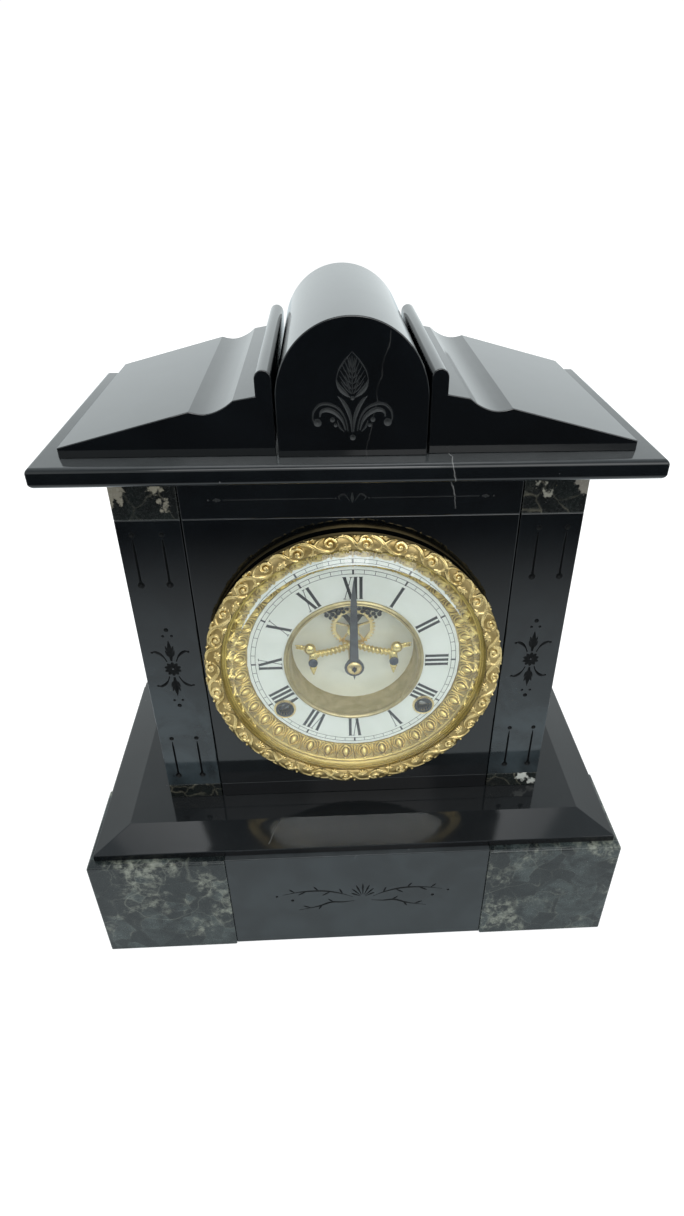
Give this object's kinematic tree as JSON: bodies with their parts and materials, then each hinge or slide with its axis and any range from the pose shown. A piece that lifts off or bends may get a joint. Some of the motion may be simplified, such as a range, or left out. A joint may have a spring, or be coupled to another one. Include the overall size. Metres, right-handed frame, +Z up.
{
  "type": "mantel clock",
  "caption": "Black slate mantel clock with green marble corner blocks, an arched pediment, a glazed gilt dial with a visible escapement, and a striking movement with pendulum.",
  "frame": {"origin": "on the surface under the middle of the clock, at the centre of its outer box", "axes": "+X to the right and +Y to the back as seen from the dial side, +Z up"},
  "size_m": [0.3022, 0.1792, 0.3463],
  "materials": {
    "slate": "polished",
    "marble": "polished",
    "gilt": "gilt",
    "brass": "lacquered",
    "steel": "satin",
    "blued_steel": "blued",
    "iron": "blackened",
    "enamel": "vitreous enamel on copper",
    "glass": "bevelled"
  },
  "bodies": {
    "case": {"arch_block": "slate", "back_panel": "slate", "back_plate": "brass", "back_ring": "brass", "base_block_left": "marble", "base_block_right": "marble", "base_core": "slate", "base_front_panel": "slate", "capital_left": "marble", "capital_right": "marble", "centre_disc": "enamel", "centre_ring": "gilt", "chapter_ring": "enamel", "cornice_slab": "slate", "dial_pan": "brass", "dial_surround": "gilt", "escape_bridge": "gilt", "escape_cock": "blued_steel", "foot_rail": "slate", "frieze_rail": "slate", "front_panel": "slate", "front_plate": "brass", "gong": "blued_steel", "gong_stand": "iron", "pediment_left": "slate", "pediment_right": "slate", "pilaster_foot_left": "marble", "pilaster_foot_right": "marble", "pilaster_left": "slate", "pilaster_right": "slate", "plinth_slab": "slate", "side_wall_left": "slate", "side_wall_right": "slate"},
    "bezel": {"bezel_ring": "gilt", "bezel_glass": "glass"},
    "back_door": {"back_door": "brass"},
    "minute_arbor": {"cannon_pinion": "steel", "minute_hand": "blued_steel", "hand_nut": "brass"},
    "minute_wheel": {"minute_wheel": "brass"},
    "hour_pipe": {"hour_wheel": "brass", "hour_hand": "blued_steel"},
    "escape_arbor": {"escape_wheel": "brass"},
    "third_arbor": {"third_wheel": "brass"},
    "centre_arbor": {"centre_wheel": "brass"},
    "second_arbor": {"second_wheel": "brass"},
    "time_barrel": {"time_barrel": "brass"},
    "time_winder": {"time_winding_arbor": "steel", "time_mainspring": "blued_steel"},
    "fly_arbor": {"fly": "brass"},
    "locking_arbor": {"locking_wheel": "brass"},
    "pin_wheel_arbor": {"pin_wheel": "brass"},
    "strike_second_arbor": {"strike_second_wheel": "brass"},
    "strike_barrel": {"strike_barrel": "brass"},
    "strike_winder": {"strike_winding_arbor": "steel", "strike_mainspring": "blued_steel"},
    "hammer": {"hammer": "steel"},
    "pendulum": {"pendulum_rod": "steel", "pendulum_bob": "brass"},
    "pallet_arbor": {"pallets": "blued_steel"}
  },
  "joints": [
    {"name": "bezel_hinge", "type": "hinge", "parent": "case", "child": "bezel", "pos_m": [-0.0756, -0.0493, 0.1779], "axis": [0, 0, -1], "range_deg": [0, 100]},
    {"name": "back_door_hinge", "type": "hinge", "parent": "case", "child": "back_door", "pos_m": [0.0842, 0.0849, 0.1779], "axis": [0, 0, -1], "range_deg": [0, 120]},
    {"name": "minute_turn", "type": "hinge", "parent": "case", "child": "minute_arbor", "pos_m": [0, -0.0383, 0.1779], "axis": [0, 1, 0], "continuous": true},
    {"name": "minute_wheel_turn", "type": "hinge", "parent": "case", "child": "minute_wheel", "pos_m": [0, -0.0263, 0.1644], "axis": [0, 1, 0], "continuous": true},
    {"name": "hour_turn", "type": "hinge", "parent": "case", "child": "hour_pipe", "pos_m": [0, -0.0363, 0.1779], "axis": [0, 1, 0], "continuous": true},
    {"name": "escape_turn", "type": "hinge", "parent": "case", "child": "escape_arbor", "pos_m": [0, -0.0163, 0.1936], "axis": [0, 1, 0], "continuous": true},
    {"name": "third_turn", "type": "hinge", "parent": "case", "child": "third_arbor", "pos_m": [-0.01219, -0.0063, 0.18693], "axis": [0, 1, 0], "continuous": true},
    {"name": "centre_turn", "type": "hinge", "parent": "case", "child": "centre_arbor", "pos_m": [0, -0.0063, 0.1779], "axis": [0, 1, 0], "continuous": true},
    {"name": "second_turn", "type": "hinge", "parent": "case", "child": "second_arbor", "pos_m": [0.02322, -0.0063, 0.17266], "axis": [0, 1, 0], "continuous": true},
    {"name": "time_barrel_turn", "type": "hinge", "parent": "case", "child": "time_barrel", "pos_m": [0.038, -0.0013, 0.1484], "axis": [0, 1, 0], "continuous": true},
    {"name": "time_winding", "type": "hinge", "parent": "case", "child": "time_winder", "pos_m": [0.038, -0.0063, 0.1484], "axis": [0, 1, 0], "continuous": true},
    {"name": "fly_turn", "type": "hinge", "parent": "case", "child": "fly_arbor", "pos_m": [-0.0301, -0.0063, 0.19593], "axis": [0, 1, 0], "continuous": true},
    {"name": "locking_turn", "type": "hinge", "parent": "case", "child": "locking_arbor", "pos_m": [-0.03789, -0.0063, 0.1856], "axis": [0, 1, 0], "continuous": true},
    {"name": "pin_wheel_turn", "type": "hinge", "parent": "case", "child": "pin_wheel_arbor", "pos_m": [-0.0288, -0.0063, 0.17232], "axis": [0, 1, 0], "continuous": true},
    {"name": "strike_second_turn", "type": "hinge", "parent": "case", "child": "strike_second_arbor", "pos_m": [-0.01083, -0.0063, 0.15671], "axis": [0, 1, 0], "continuous": true},
    {"name": "strike_barrel_turn", "type": "hinge", "parent": "case", "child": "strike_barrel", "pos_m": [-0.038, -0.0013, 0.1484], "axis": [0, 1, 0], "continuous": true},
    {"name": "strike_winding", "type": "hinge", "parent": "case", "child": "strike_winder", "pos_m": [-0.038, -0.0063, 0.1484], "axis": [0, 1, 0], "continuous": true},
    {"name": "hammer_lift", "type": "hinge", "parent": "case", "child": "hammer", "pos_m": [-0.052, 0.0137, 0.1744], "axis": [0, 1, 0], "range_deg": [0, 18], "stiffness_Nm_per_rad": 0.004, "springref_deg": -17.19},
    {"name": "pendulum_swing", "type": "hinge", "parent": "case", "child": "pendulum", "pos_m": [0, 0.0237, 0.2083], "axis": [0, 1, 0], "range_deg": [-3, 3]},
    {"name": "pallet_rock", "type": "hinge", "parent": "case", "child": "pallet_arbor", "pos_m": [0, -0.0063, 0.2083], "axis": [0, 1, 0], "range_deg": [-3, 3]}
  ],
  "couplings": [
    {"joint": "minute_wheel_turn", "follows": "minute_turn", "ratio": -0.33333},
    {"joint": "hour_turn", "follows": "minute_turn", "ratio": 0.083333},
    {"joint": "third_turn", "follows": "escape_turn", "ratio": -0.076923},
    {"joint": "centre_turn", "follows": "escape_turn", "ratio": 0.0064103},
    {"joint": "second_turn", "follows": "escape_turn", "ratio": -0.0010684},
    {"joint": "time_barrel_turn", "follows": "escape_turn", "ratio": 0.00017806},
    {"joint": "locking_turn", "follows": "fly_turn", "ratio": -0.125},
    {"joint": "pin_wheel_turn", "follows": "fly_turn", "ratio": 0.015625},
    {"joint": "strike_second_turn", "follows": "fly_turn", "ratio": -0.0026042},
    {"joint": "strike_barrel_turn", "follows": "fly_turn", "ratio": 0.00043403},
    {"joint": "pallet_rock", "follows": "pendulum_swing", "ratio": 1}
  ]
}
